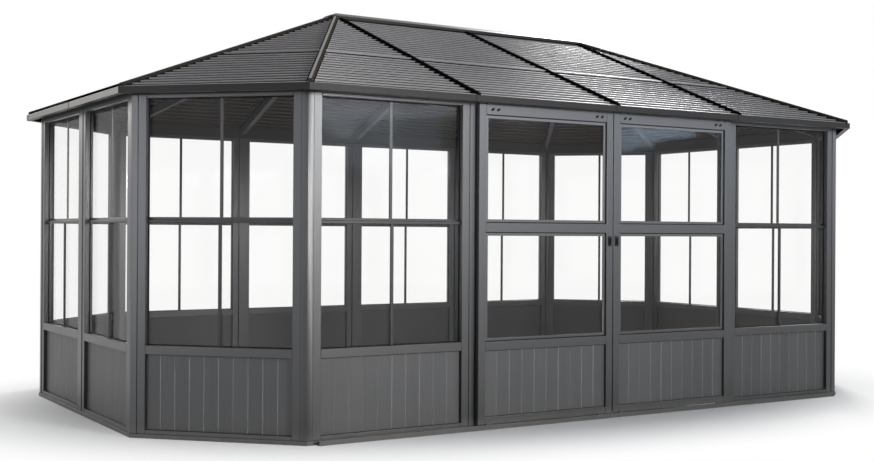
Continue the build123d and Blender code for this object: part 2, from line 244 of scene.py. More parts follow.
# %% Roof steel
def steel_finish(name, dark, light, metallic, rough, gloss, relief):
    material, place = new_finish(name)
    cells = {"Vector": place.stretched((46.0, 46.0, 120.0)), "Scale": 1.0, "Randomness": 0.75}
    stipple = place.node("TexVoronoi", {"feature": "SMOOTH_F1"}, cells)
    fold_painted_light = place.node("Attribute", {"attribute_name": "fold_painted_light"}, {}, "Fac")
    clouds = place.noise(1.1, 4.0)
    streaks = place.stretched((3.0, 3.0, 38.0)).noise(1.0, 4.0)
    # the fold tone is painted light: lighter or darker by the way a face looks
    tone = fold_painted_light * 0.6 + clouds * 0.2 + streaks * 0.15 + stipple * 0.15 - 0.05
    return close_finish(material, place, {
        "Base Color": tone.tint(dark, light),
        "Metallic": metallic,
        "Roughness": rough + streaks * 0.12 + stipple * 0.08,
        "Specular IOR Level": gloss,
        "Normal": stipple.relief(relief),
    })


roof_finishes = [
    steel_finish("roof_steel", (0.010, 0.0092, 0.0092), (0.285, 0.273, 0.278), 0.15, 0.24, 0.28, 0.0002),
    steel_finish("roof_lining", (0.036, 0.0285, 0.0248), (0.058, 0.0465, 0.0405), 0.0, 0.62, 0.02, 0.0),
    # the crease finish: near black and matt, painted shade under each nose
    steel_finish("roof_crease_painted_shade", (0.004, 0.0037, 0.0036), (0.012, 0.011, 0.0105), 0.0, 0.60, 0.04, 0.0002),
]
print("roof finishes:", ", ".join(finish.name for finish in roof_finishes))

# %% [markdown]
# ## Boards
# The lower panels are extruded boards with fine upright flutes. Real boards never match, so each plank is written a
# tone of its own, as an attribute on its faces. A tone over one is a painted highlight on a rounded plank edge,
# brighter here and there than elsewhere, and a tone below none is painted shade: the backing on the inside is painted
# dark.

# %% Boards
edge_highlight_colour, board_dust, inner_shade_colour = (0.34, 0.34, 0.35), (0.13, 0.122, 0.112), (0.012, 0.0105, 0.0095)


def board_finish():
    material, place = new_finish("board_coat")
    tone = place.node("Attribute", {"attribute_name": "tone"}, {}, "Fac")
    grain = place.stretched((310.0, 310.0, 2.2)).noise(1.0, 3.0)
    flutes = place.stretched((105.0, 105.0, 0.9)).noise(1.0, 2.0)
    clouds = place.noise(2.1, 4.0)
    dusty = place.height().fade(0.05, 0.30) * place.noise(11.0, 5.0) * 0.25
    share = tone * 0.35 + flutes * 0.70 + grain * 0.10 + clouds * 0.25 - 0.20
    colour = share.tint((0.036, 0.0356, 0.036), (0.076, 0.0752, 0.076))
    # painted highlight on the rounded plank edges, broken up by the flutes
    painted_highlight = ((tone - 1.0).most(0.0) * (flutes * 1.6 + 0.1)).over(colour, edge_highlight_colour)
    return close_finish(material, place, {
        # painted shade: the backing is darkened to the inner shade colour
        "Base Color": (0 - tone).most(0.0).over(dusty.over(painted_highlight, board_dust), inner_shade_colour),
        "Roughness": 0.40 + grain * 0.10 + clouds * 0.06,
        "Normal": grain.relief(0.0006),
    })


board_coat = board_finish()
print("boards:", board_coat.name)

# %% [markdown]
# ## Smoked panes
# The panes are smoked and nearly clear. A Mix Shader lets the light through and adds a thin mirror film, stronger
# where the pane is seen edge on; true refraction would cost time and show nothing more on a flat pane. Such panes are
# never quite flat, so a slow bump makes what they mirror run in waves.


# %% Panes
def pane_finish():
    material, place = new_finish("smoked_pane")
    edge_on = place.node("LayerWeight", {}, {"Blend": 0.5}, "Facing")
    smears = place.stretched((1.0, 1.0, 0.6)).noise(2.4, 5.0)
    waves = place.noise(2.6, 1.0)
    film = place.node("BsdfPrincipled", {}, {
        "Base Color": (0.58, 0.57, 0.57, 1),
        "Metallic": 1.0,
        "Roughness": 0.03 + smears * 0.05,
        "Normal": waves.relief(0.0035),
    })
    clear = place.node("BsdfTransparent", {}, {"Color": (1.0, 0.999, 0.998, 1)})
    share = 0.012 + smears * 0.020 + edge_on ** 5 * 0.30
    mixed = place.node("MixShader", {}, {0: share, 1: clear, 2: film})
    place.node("OutputMaterial", {}, {"Surface": mixed})
    return material


smoked_pane = pane_finish()
print("panes:", smoked_pane.name)

# %% [markdown]
# ## Moulded parts
# Latches, gaskets and runners are moulded from plastic and rubber. They differ only in tone, roughness and gloss, so
# one recipe serves them all: small clouds of tone and a very fine grain.


# %% Moulded parts
def moulded_finish(name, dark, light, rough, gloss):
    material, place = new_finish(name)
    grain = place.noise(900.0, 3.0)
    clouds = place.noise(30.0, 3.0)
    return close_finish(material, place, {
        "Base Color": clouds.tint(dark, light),
        "Roughness": rough + grain * 0.12,
        "Specular IOR Level": gloss,
        "Normal": grain.relief(0.00015),
    })


latch_black = moulded_finish("latch_black", (0.004, 0.004, 0.004), (0.009, 0.0085, 0.0085), 0.46, 0.25)
gasket_black = moulded_finish("gasket_black", (0.005, 0.0045, 0.0045), (0.012, 0.011, 0.011), 0.66, 0.15)
runner_grey = moulded_finish("runner_grey", (0.10, 0.10, 0.10), (0.16, 0.16, 0.155), 0.45, 0.4)
print("moulded finishes:", latch_black.name, gasket_black.name, runner_grey.name)

# %% [markdown]
# ## The plan, once more
# New pieces need to know where the walls are. A wall's own axes run along it, inward and up, and a matrix carries
# them into the frame. A window bar is then the same few numbers on all eight sides.

# %% Walls
front_half, end_half, corner_run = 2.250, 1.070, 0.785
half_length, half_depth = front_half + corner_run, end_half + corner_run
overhang, eave_top, ridge_line, ridge_half = 0.097, 2.091, 2.862, 1.125
mitre = tan(radians(45 / 2))


class Wall:
    """One side of the octagon, with the slope of the roof over it."""

    def __init__(self, angle, x, y, half):
        self.half = half
        self.place = Matrix.Translation((x, y, 0)) @ Matrix.Rotation(radians(angle + 90), 4, "Z")
        ridge_ends = [self.place.inverted() @ Vector((side * ridge_half, 0, 0)) for side in (-1, 1)]
        nearest = min(point.y for point in ridge_ends)
        self.apexes = sorted(point.x for point in ridge_ends if point.y < nearest + 0.001)
        self.reach = overhang + nearest
        self.slope = (ridge_line - eave_top) / self.reach
        self.eave_half = half + overhang * mitre


corner_x, corner_y = front_half + corner_run / 2, end_half + corner_run / 2
corner_half = corner_run / sqrt(2)
walls = {
    "front": [Wall(-90, 0, -half_depth, front_half)],
    "back": [Wall(90, 0, half_depth, front_half)],
    "end": [Wall(180, -half_length, 0, end_half), Wall(0, half_length, 0, end_half)],
    "corner": [
        Wall(-135, -corner_x, -corner_y, corner_half),
        Wall(-45, corner_x, -corner_y, corner_half),
        Wall(45, corner_x, corner_y, corner_half),
        Wall(135, -corner_x, corner_y, corner_half),
    ],
}
bay_ends = {
    "front": [(-2.210, -1.130), (1.130, 2.210)],
    "back": [(-2.210, -1.150), (-1.100, -0.025), (0.025, 1.100), (1.150, 2.210)],
    "end": [(-1.030, -0.025), (0.025, 1.030)],
    "corner": [(-0.515, 0.515)],
}
for group, sides in walls.items():
    print(group, len(sides), "sides, roof slope", round(sides[0].slope, 3))

# %% [markdown]
# ## Small tools for meshes
# Most parts of a metal room are bars and plates. A bar starts as a cube that is scaled into place, and a bevel
# takes the sharpness off, so that its edges catch the light. A finished piece rides on a body of the
# CAD model, and may stand for a plain solid, which is then hidden.

# %% Mesh tools
hard_turn = radians(20)
facing_out = Matrix.Rotation(radians(90), 4, "X")


def block(mesh, low, high, place=Matrix.Identity(4)):
    """A box between two corners, measured on a wall's own axes."""
    low, high = Vector(low), Vector(high)
    size = Matrix.Diagonal((*(high - low), 1))
    put = place @ Matrix.Translation((low + high) / 2) @ size
    return bmesh.ops.create_cube(mesh, size=1, matrix=put)["verts"]


def edges_of(verts):
    return list({edge for vert in verts for edge in vert.link_edges})


def hard_edges(mesh, turn=1.0):
    """Edges whose two faces turn by more than that angle."""
    return [edge for edge in mesh.edges if edge.calc_face_angle(0) > turn]


def soften(mesh, edges, width, segments=2):
    """Rounds those edges, and gives back the new faces."""
    return bmesh.ops.bevel(mesh, geom=edges, offset=width, offset_type="OFFSET", affect="EDGES",
                           segments=segments, profile=0.5, material=-1, clamp_overlap=True)["faces"]


def piece(mesh, name, finishes, body="root", stands_for=()):
    """Turns a bmesh into a named piece of the room."""
    bmesh.ops.recalc_face_normals(mesh, faces=mesh.faces)
    data = bpy.data.meshes.new(name)
    mesh.to_mesh(data)
    mesh.free()
    if "custom_normal" in data.attributes:
        data.attributes.remove(data.attributes["custom_normal"])
    for finish in finishes:
        data.materials.append(finish)
    data.shade_smooth()
    data.set_sharp_from_angle(angle=hard_turn)
    made = bpy.data.objects.new(name, data)
    bpy.context.scene.collection.objects.link(made)
    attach(made, body)
    if stands_for:
        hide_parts(*stands_for)
    print(name, "has", len(data.polygons), "faces")
    return made


print("mesh tools ready")

# %% [markdown]
# ## Metal with softened edges
# A CAD solid has knife edges, and no real extrusion does. Each metal solid is copied, its loose triangles are merged
# into flat faces, and every hard edge gets a small round. The copy then stands for the solid.

# %% Softened solids
merge_distance, flat_turn = 0.00002, radians(1)


def softened(node, finish, width, body):
    mesh = bmesh.new()
    mesh.from_mesh(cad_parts[node].data)
    bmesh.ops.remove_doubles(mesh, verts=mesh.verts, dist=merge_distance)
    bmesh.ops.dissolve_limit(mesh, angle_limit=flat_turn, verts=mesh.verts, edges=mesh.edges)
    soften(mesh, hard_edges(mesh, hard_turn), width)
    return piece(mesh, node + "_soft", [finish], body, [node])


softened_metal = [
    ("base_rails", coats["charcoal"], "charcoal_frame", 0.002, "root"),
    ("corner_posts", coats["charcoal"], "charcoal_frame", 0.003, "root"),
    ("wall_posts", coats["charcoal"], "charcoal_frame", 0.003, "root"),
    ("door_jambs", coats["charcoal"], "charcoal_frame", 0.003, "root"),
    ("door_track", coats["charcoal"], "charcoal_frame", 0.0012, "root"),
    ("door_head_track", coats["charcoal"], "charcoal_frame", 0.0012, "root"),
    ("front_frames", coats["charcoal"], "charcoal_frame", 0.002, "root"),
    ("back_frames", coats["charcoal"], "charcoal_frame", 0.002, "root"),
    ("end_frames", coats["charcoal"], "charcoal_frame", 0.002, "root"),
    ("corner_frames", coats["charcoal"], "charcoal_frame", 0.002, "root"),
    ("left_door_frame", coats["charcoal"], "charcoal_frame", 0.002, "left_door"),
    ("right_door_frame", coats["charcoal"], "charcoal_frame", 0.002, "right_door"),
    ("ridge_cap", coats["fascia"], "roof_trim", 0.006, "root"),
]
for node, finish, slot, width, body in softened_metal:
    softened(node, finish, width, body)

# %% [markdown]
# ## Solids that stay
# Beams, rafters, panes and runners have the right shape already. They keep it, and only their material changes.

# %% Finishes on solids
kept = {
    coats["beam"]: ["eave_beams", "hip_rafters", "rib_rafters", "crown_hubs", "ridge_beam"],
    smoked_pane: ["front_glass", "back_glass", "end_glass", "corner_glass", "left_door_glass", "right_door_glass"],
    runner_grey: ["left_door_runners", "right_door_runners"],
}
for finish, nodes in kept.items():
    for node in nodes:
        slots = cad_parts[node].data.materials
        slots.clear()
        slots.append(finish)
    print(finish.name, "on", len(nodes), "solids")

# %% [markdown]
# ## Window bars
# Each fixed window has an upper and a lower light, and each light has one upright in its middle. The bars of the lower
# light lie on the outer side of the pane, those of the upper light on the inner side. So the two cross bars
# between the lights stand one behind the other, and the inner one shows as a dark line over the outer one. An upright
# is a hair thinner than its cross bar, so that their faces never fall together.

# %% Window bars
stile, sill_top, head = 0.052, 0.553, 2.030
bar_half, bar_round, bar_step = 0.0105, 0.003, 0.001
outer_cross, inner_cross = (1.286, 1.305), (1.303, 1.320)
outer_depth, inner_depth = (0.027, 0.0415), (0.0485, 0.060)
outer_upright, inner_upright = (outer_depth[0] + bar_step, outer_depth[1]), (inner_depth[0], inner_depth[1] - bar_step)
for group, sides in walls.items():
    mesh = bmesh.new()
    for wall in sides:
        for left, right_end in bay_ends[group]:
            middle = (left + right_end) / 2
            spans = [
                (left + stile, right_end - stile, *outer_cross, *outer_depth),
                (left + stile, right_end - stile, *inner_cross, *inner_depth),
                (middle - bar_half, middle + bar_half, sill_top, outer_cross[0], *outer_upright),
                (middle - bar_half, middle + bar_half, inner_cross[1], head, *inner_upright),
            ]
            for start, stop, low, high, front, back in spans:
                block(mesh, (start, front, low), (stop, back, high), wall.place)
    soften(mesh, mesh.edges[:], bar_round)
    piece(mesh, group + "_window_bars", [coats["bar"]])

# %% [markdown]
# ## Gaskets
# A dark rubber gasket lines each fixed pane. It is a ring: a grid of one face, inset, with the middle taken out and
# the rim pulled forward. Four bars would do as well, but their ends would show at the corners.

# %% Gaskets
gasket_width, gasket_face, pane_face, gasket_round = 0.006, 0.036, 0.0417, 0.0012


def ring(mesh, left, right, low, high, width, front, back, place):
    """A flat frame round an opening, as deep as from front to back."""
    middle = Matrix.Translation(((left + right) / 2, back, (low + high) / 2))
    size = Matrix.Diagonal((right - left, 1, high - low, 1)) @ facing_out
    corners = bmesh.ops.create_grid(mesh, x_segments=1, y_segments=1, size=0.5, matrix=middle @ size)["verts"]
    face = corners[0].link_faces[0]
    rim = bmesh.ops.inset_region(mesh, faces=[face], thickness=width, use_boundary=True, use_even_offset=True)["faces"]
    bmesh.ops.delete(mesh, geom=[face], context="FACES_ONLY")
    grown = bmesh.ops.extrude_face_region(mesh, geom=rim)["geom"]
    raised = [part for part in grown if isinstance(part, bmesh.types.BMVert)]
    bmesh.ops.translate(mesh, verts=raised, vec=(0, front - back, 0))
    whole = list({vert for part in rim for vert in part.verts} | set(raised))
    bmesh.ops.transform(mesh, matrix=place, verts=whole)


for group, sides in walls.items():
    mesh = bmesh.new()
    for wall in sides:
        for left, right_end in bay_ends[group]:
            ring(mesh, left + stile, right_end - stile, sill_top, head, gasket_width, gasket_face, pane_face,
                 wall.place)
    soften(mesh, hard_edges(mesh), gasket_round, 1)
    piece(mesh, group + "_gaskets", [gasket_black])

# %% [markdown]
# ## Door beads
# The doors have a slim bright bead round each pane, with a narrow shadow between bead and stile. At the bottom of that
# gap lies a flat dark gasket. Both are rings of the same kind, and they go with their door.

# %% Door beads
front_wall = walls["front"][0]
door_spans = {"left": (-1.085, -0.003), "right": (0.003, 1.085)}
door_panes = [(0.551, 1.240), (1.300, 1.980)]
door_stile, door_glass_face = 0.054, -0.0172
bead_gap, bead_width, bead_face, bead_round = 0.004, 0.018, -0.027, 0.0018
door_gasket_width, door_gasket_face = bead_gap + 0.002, door_glass_face - 0.003
for hand, (left, right_end) in door_spans.items():
    mesh = bmesh.new()
    for low, high in door_panes:
        ring(mesh, left + door_stile + bead_gap, right_end - door_stile - bead_gap, low + bead_gap, high - bead_gap,
             bead_width, bead_face, door_glass_face, front_wall.place)
    soften(mesh, hard_edges(mesh), bead_round)
    piece(mesh, hand + "_door_beads", [coats["bead"]], hand + "_door")
    mesh = bmesh.new()
    for low, high in door_panes:
        ring(mesh, left + door_stile, right_end - door_stile, low, high,
             door_gasket_width, door_gasket_face, door_glass_face, front_wall.place)
    piece(mesh, hand + "_door_gaskets", [gasket_black], hand + "_door")

# %% [markdown]
# ## Boarded panels
# Below each window stands a panel of about ten upright planks. Planks are boxes with rounded edges, a hair apart, in
# front of a thin backing. Every plank takes a tone at random, from a seeded source, so that each run is alike. The
# rounded edges down its sides get a painted highlight, stronger on the left edge than the right, and the backing gets
# a dark tone that is painted shade.

# %% Planks
plank_pitch, plank_gap, plank_round, backing = 0.097, 0.0006, 0.003, 0.006
left_edge_highlight, right_edge_highlight, inner_shade_tone = 1.9, 1.6, -0.8
tones = Random(11)


def planked(mesh, left, right_end, low, high, front, back, place):
    tone = mesh.faces.layers.float.get("tone") or mesh.faces.layers.float.new("tone")
    to_wall = place.inverted().to_3x3()
    count = round((right_end - left) / plank_pitch)
    pitch = (right_end - left) / count
    for number in range(count):
        start = left + pitch * number
        stop = start + pitch - plank_gap / 2
        verts = block(mesh, (start + plank_gap / 2, front, low), (stop, back - backing, high), place)
        shade = tones.random()
        for face in {face for vert in verts for face in vert.link_faces}:
            face[tone] = shade
        for face in soften(mesh, edges_of(verts), plank_round, 1):
            face.normal_update()
            sideways = (to_wall @ face.normal).x
            if 0.3 < abs(sideways) < 0.9:
                # painted highlight on the side bevels, stronger on the left
                face[tone] = left_edge_highlight if sideways < 0 else right_edge_highlight
    lining = block(mesh, (left, back - backing, low), (right_end, back, high), place)
    for face in {face for vert in lining for face in vert.link_faces}:
        # the backing takes the painted shade of the inside
        face[tone] = inner_shade_tone


wall_panel, door_panel = (0.048, 0.500, 0.026, 0.040), (0.078, 0.495, -0.023, -0.009)  # low, high, front, back
for group, sides in walls.items():
    mesh = bmesh.new()
    for wall in sides:
        for left, right_end in bay_ends[group]:
            planked(mesh, left + stile, right_end - stile, *wall_panel, wall.place)
    piece(mesh, group + "_planks", [board_coat], stands_for=[group + "_boards"])

for hand, (left, right_end) in door_spans.items():
    mesh = bmesh.new()
    planked(mesh, left + door_stile, right_end - door_stile, *door_panel, front_wall.place)
    piece(mesh, hand + "_door_planks", [board_coat], hand + "_door", [hand + "_door_board"])

# %% [markdown]
# ## The bays of the roof
# A roof sheet reaches from rib to rib, or from rib to hip. On a wall's own axes each of those lines is known by its
# place at the eave and its place at the ridge. A sheet is cut along the upright plane through such a line, because a
# cut is simpler than working out where every course should end.

# %% Sheet lines and cuts
sheet_gap = 0.004


def sheet_lines(wall, ribs):
    """Edges of the sheets of a slope, as places along the wall at the eave and at the ridge."""
    lines = [(-wall.eave_half, wall.apexes[0]), *[(rib, rib) for rib in ribs], (wall.eave_half, wall.apexes[-1])]
    return list(zip(lines, lines[1:]))


def cut_side(mesh, wall, line, gap):
    """Cuts a sheet along the upright plane through a line of the roof, on the side of the gap."""
    foot, top = Vector((line[0] + gap, -overhang, 0)), Vector((line[1] + gap, wall.reach - overhang, 0))
    run = top - foot
    outward = Vector((-run.y, run.x, 0)) if gap > 0 else Vector((run.y, -run.x, 0))
    whole = mesh.verts[:] + mesh.edges[:] + mesh.faces[:]
    bmesh.ops.bisect_plane(mesh, geom=whole, plane_co=foot, plane_no=outward, clear_outer=True)


roof_ribs = {"front": (-ridge_half, 0, ridge_half), "back": (-ridge_half, 0, ridge_half), "end": (0,), "corner": ()}
print("sheets to a slope:", {group: len(sheet_lines(walls[group][0], ribs)) for group, ribs in roof_ribs.items()})

# %% [markdown]
# ## A finish for every fold
# The parts of a sheet face different ways. Treads face the sky, risers stand upright with a rounded nose on top,
# creases lean back under the nose above, and the lining faces down. So the direction of a face is enough to give it
# its finish and its tone. Those tones are painted light: noses lightest as a painted highlight, risers lighter and
# treads darker, and the creases take the near-black finish of painted shade.

# %% Sheet finishes
# painted light by facing: noses lightest as a painted highlight, treads darkest as painted shade
riser_painted_light, nose_painted_highlight, tread_painted_shade = 0.45, 0.8, 0.15
lining_finish, crease_shade_finish = 1, 2
lining_limit, crease_limit, riser_limit, nose_limit = -0.3, -0.05, 0.2, 0.97


def sort_faces(mesh):
    """Gives each face of a sheet its finish and its tone of painted light: nose, tread, riser, crease or lining."""
    fold_painted_light = mesh.faces.layers.float.new("fold_painted_light")
    for face in mesh.faces:
        steep = face.normal.z
        if 2 * steep - face.normal.y < lining_limit:
            face.material_index = lining_finish
        elif steep < crease_limit:
            # painted shade in the crease
            face.material_index = crease_shade_finish
        else:
            face[fold_painted_light] = riser_painted_light if steep < riser_limit else nose_painted_highlight if steep < nose_limit else tread_painted_shade


print("tones of riser, nose and tread:", riser_painted_light, nose_painted_highlight, tread_painted_shade)

# %% [markdown]
# ## Stepped roof sheets
# Each sheet is pressed into courses that step up the slope. Its section is a line of creases, risers and treads, grown
# one vertex at a time by extrusion, then swept along the wall. The noses are rounded, the sheet is cut to its bay
# by two upright planes, and it gets the thickness of a real sheet, so that the ceiling is stepped too. A riser leans
# out a little at its foot, and that crease takes the near-black finish, painted shade that draws the dark line under
# each course. Where the upper row laps the lower one, its first riser is higher, and more of it is painted shade.

# %% One sheet
course_count, lower_courses, course_step = 31, 13, 0.014
fascia_thickness, crown_gap, sheet_thickness, sweep_spare = 0.012, 0.060, 0.003, 0.05
lap_lift, lap_in_crease = 0.006, 0.7
crease_height, crease_lean, nose_round = 0.0042, 0.0006, 0.0045


def is_level(edge):
    return abs(edge.verts[0].co.z - edge.verts[1].co.z) < 1e-6


def course_pitch(wall):
    return (wall.reach - fascia_thickness - crown_gap) / course_count


def stepped_sheet(wall, bay, first, last):
    mesh = bmesh.new()
    pitch = course_pitch(wall)
    start_in = fascia_thickness + pitch * first
    start_up = eave_top + wall.slope * start_in - course_step
    tip = mesh.verts.new((-wall.eave_half - sweep_spare, start_in - overhang, start_up))
    points = []
    for course in range(first, last):
        lift = lap_lift if course == first and first > 0 else 0
        riser = course_step + lift
        dark = crease_height + lift * lap_in_crease
        crease = Vector((0, -crease_lean, dark))
        face = Vector((0, 0, riser - dark))
        tread = Vector((0, pitch + crease_lean, wall.slope * pitch - riser))
        for step in (crease, face, tread):
            tip = bmesh.ops.extrude_vert_indiv(mesh, verts=[tip])["verts"][0]
            tip.co += step
            points.append(tip)
    grown = bmesh.ops.extrude_edge_only(mesh, edges=mesh.edges[:])["geom"]
    far = [part for part in grown if isinstance(part, bmesh.types.BMVert)]
    bmesh.ops.translate(mesh, verts=far, vec=(2 * wall.eave_half + 2 * sweep_spare, 0, 0))
    noses = points[1::3]
    soften(mesh, [edge for nose in noses for edge in nose.link_edges if is_level(edge)], nose_round)
    cut_side(mesh, wall, bay[0], sheet_gap)
    cut_side(mesh, wall, bay[1], -sheet_gap)
    bmesh.ops.recalc_face_normals(mesh, faces=mesh.faces)
    if sum(face.normal.z for face in mesh.faces) < 0:
        bmesh.ops.reverse_faces(mesh, faces=mesh.faces)
    bmesh.ops.solidify(mesh, geom=mesh.faces[:], thickness=sheet_thickness)
    bmesh.ops.recalc_face_normals(mesh, faces=mesh.faces)
    sort_faces(mesh)
    bmesh.ops.transform(mesh, matrix=wall.place, verts=mesh.verts)
    return mesh


print("a course of the front is", round(course_pitch(front_wall), 4), "m deep")

# %% [markdown]
# ## Rows of sheets
# Every slope has a lower and an upper row. The sheets of one row and one kind of wall become one piece, which stands
# for the plain wedge of the CAD model.


# %% Rows of sheets
def gathered(meshes):
    """One mesh from several."""
    whole = bmesh.new()
    for mesh in meshes:
        data = bpy.data.meshes.new("part")
        mesh.to_mesh(data)
        mesh.free()
        whole.from_mesh(data)
        bpy.data.meshes.remove(data)
    return whole


rows = {"lower": (0, lower_courses), "upper": (lower_courses, course_count)}
for group, sides in walls.items():
    bays = [(wall, bay) for wall in sides for bay in sheet_lines(wall, roof_ribs[group])]
    for row, (first, last) in rows.items():
        sheets = [stepped_sheet(wall, bay, first, last) for wall, bay in bays]
        piece(gathered(sheets), f"roof_{group}_{row}_sheet", roof_finishes,
              stands_for=[f"roof_{group}_{row}"])

# %% [markdown]
# ## Closures under the covers
# A cover lies on the noses, so a small wedge stays open at every course. Foam strips close those wedges under the
# ribs and the hips; they take the near-black rib coat, which is painted shade. A strip is a cube whose matrix is
# sheared: one axis follows the slope and one stays upright.

# %% Closures
rib_closure_half, hip_closure_half, closure_low, closure_high = 0.027, 0.0235, -0.017, -0.0015
closure_start, closure_stop = 0.021, 0.092
rib_lines = [(side * ridge_half, 0, side * ridge_half, way * (half_depth + overhang))
             for side in (-1, 0, 1) for way in (-1, 1)]
rib_lines += [(side * ridge_half, 0, side * (half_length + overhang), 0) for side in (-1, 1)]
hip_lines = []
for side in (-1, 1):
    for way in (-1, 1):
        hip_lines.append((side * ridge_half, 0, side * (front_half + overhang * mitre), way * (half_depth + overhang)))
        hip_lines.append((side * ridge_half, 0, side * (half_length + overhang), way * (end_half + overhang * mitre)))


def sloping_strip(mesh, line, half, low, high, start, stop):
    """A bar down a line of the roof, from low to high over that line; gives its corners and its matrix."""
    top_x, top_y, foot_x, foot_y = line
    top, foot = Vector((top_x, top_y, ridge_line)), Vector((foot_x, foot_y, eave_top))
    level = Vector((foot_x - top_x, foot_y - top_y, 0))
    run = (foot - top) / level.length
    first, last = foot - run * start, top + run * stop
    across = level.normalized().cross(Vector((0, 0, 1))) * 2 * half
    middle = (first + last) / 2 + Vector((0, 0, (high + low) / 2))
    shear = Matrix((first - last, across, Vector((0, 0, high - low)))).transposed().to_4x4()
    put = Matrix.Translation(middle) @ shear
    return bmesh.ops.create_cube(mesh, size=1, matrix=put)["verts"], put


mesh = bmesh.new()
for half, lines in ((rib_closure_half, rib_lines), (hip_closure_half, hip_lines)):
    for line in lines:
        sloping_strip(mesh, line, half, closure_low, closure_high, closure_start, closure_stop)
# painted shade: the strips take the near-black rib coat
piece(mesh, "cover_closures", [coats["rib"]])

# %% [markdown]
# ## Rib covers
# A rib cover hides the joint between two sheets of one slope. It is a slim bar with rounded edges, so it is the
# same sloping strip, a little higher, with a bevel. Its near-black, matt coat is painted shade.

# %% Rib covers
rib_half, rib_low, rib_high, rib_round = 0.015, -0.010, 0.012, 0.003
rib_start, rib_stop = 0.004, 0.070
mesh = bmesh.new()
for line in rib_lines:
    sloping_strip(mesh, line, rib_half, rib_low, rib_high, rib_start, rib_stop)
soften(mesh, mesh.edges[:], rib_round)
piece(mesh, "rib_covers_slim", [coats["rib"]], stands_for=["rib_covers"])

# %% [markdown]
# ## Hip covers
# A hip cover is folded from sheet: a narrow flat top with a steep skirt down each side. Each one starts as the same
# sloping bar, and its upper corners are drawn in. Top and skirts get coats of their own: the lighter top is painted
# light and the darker, matt skirts are painted shade, lit and shaded tones of one sheet.

# %% Hip covers
hip_half, hip_top_half, hip_low, hip_high, hip_round = 0.0250, 0.0085, -0.010, 0.017, 0.0015
hip_start, hip_stop = 0.0170, 0.0965
top_painted_light_coat, skirt_painted_shade_coat, top_limit = 0, 1, 0.8
mesh = bmesh.new()
for line in hip_lines:
    corners, put = sloping_strip(mesh, line, hip_half, hip_low, hip_high, hip_start, hip_stop)
    for corner in corners:
        along, across, up = put.inverted() @ corner.co
        if up > 0:
            corner.co = put @ Vector((along, across * hip_top_half / hip_half, up))
bmesh.ops.recalc_face_normals(mesh, faces=mesh.faces)
soften(mesh, mesh.edges[:], hip_round)
# faces that look up take the painted-light top coat, the others the painted-shade skirt coat
for face in mesh.faces:
    face.normal_update()
    face.material_index = top_painted_light_coat if face.normal.z > top_limit else skirt_painted_shade_coat
piece(mesh, "hip_covers_folded", [coats["cover"], coats["skirt"]], stands_for=["hip_covers"])

# %% [markdown]
# ## Eave fascia
# A folded fascia closes the eave. It comes in lengths from rib to rib, with a hair between them. A length is a section
# of a few points, swept along the wall; at a corner of the room its end runs at an angle, so that two lengths meet in
# a mitre.

# %% Eave fascia
plate_depth, length_gap, fascia_round = 0.002, 0.001, 0.0016
fascia_bottom, flange_depth, flange_height = 2.050, 0.038, 0.005


def swept(mesh, section, left, right_end, place):
    """A bar of that section, a round of inward and up; each end is a place and its shift per inward step."""
    corners = [mesh.verts.new((left[0] + left[1] * inward, inward, up)) for inward, up in section]
    grown = bmesh.ops.extrude_face_region(mesh, geom=[mesh.faces.new(corners)])["geom"]
    tips = [part for part in grown if isinstance(part, bmesh.types.BMVert)]
    for tip in tips:
        tip.co.x = right_end[0] + right_end[1] * tip.co.y
    bmesh.ops.transform(mesh, matrix=place, verts=corners + tips)


outer, inner, flange_end = -overhang + plate_depth, -overhang + fascia_thickness, -overhang + flange_depth
fascia_section = [
    (outer, fascia_bottom), (flange_end, fascia_bottom), (flange_end, fascia_bottom + flange_height),
    (inner, fascia_bottom + flange_height), (inner, eave_top), (outer, eave_top),
]
mesh = bmesh.new()
for group, sides in walls.items():
    for wall in sides:
        stops = [(-wall.half, mitre), *[(rib, 0) for rib in roof_ribs[group]], (wall.half, -mitre)]
        for (left, left_shift), (right_end, right_shift) in zip(stops, stops[1:]):
            swept(mesh, fascia_section, (left + length_gap, left_shift), (right_end - length_gap, right_shift),
                  wall.place)
soften(mesh, hard_edges(mesh), fascia_round)
piece(mesh, "eave_fascia_lengths", [coats["fascia"]], stands_for=["eave_fascia"])

# %% [markdown]
# ## Cover plates
# Small cover plates hide the joints of the fascia, and folded corner pieces go round the eight corners. A plate is a
# thin block. A corner piece is two leaves, one on each wall, swept as the fascia is and mitred where they meet.

# %% Cover plates
plate_half, plate_top, plate_round = 0.022, eave_top - 0.001, 0.0006
corner_plate, corner_gap = 0.034, 0.0003
leaf = [(-overhang, fascia_bottom), (outer, fascia_bottom), (outer, plate_top), (-overhang, plate_top)]
mesh = bmesh.new()
for group, sides in walls.items():
    for wall in sides:
        for rib in roof_ribs[group]:
            block(mesh, (rib - plate_half, -overhang, fascia_bottom), (rib + plate_half, outer, plate_top), wall.place)
        edge = wall.half - corner_gap
        swept(mesh, leaf, (-edge, mitre), (-wall.eave_half + corner_plate, 0), wall.place)
        swept(mesh, leaf, (wall.eave_half - corner_plate, 0), (edge, -mitre), wall.place)
soften(mesh, hard_edges(mesh), plate_round, 1)
piece(mesh, "eave_cover_plates", [coats["fascia"]])

# %% [markdown]
# ## Latches
# Each door has a black latch on its meeting stile: a rounded plate with a finger pull and two screws. Three segments
# in the bevel are enough to make the plate and the pull look moulded. A screw is a short cone with its tip cut off.

# %% Latches
door_face = -0.038
latch_low, latch_high, latch_half, latch_depth, latch_round = 1.152, 1.218, 0.015, 0.005, 0.0022
pull_low, pull_high, pull_half, pull_reach, pull_foot, pull_round = 1.165, 1.205, 0.0055, 0.018, 0.0045, 0.003
screw_heights, screw_depth, screw_radius = (1.158, 1.212), 0.0055, 0.0032


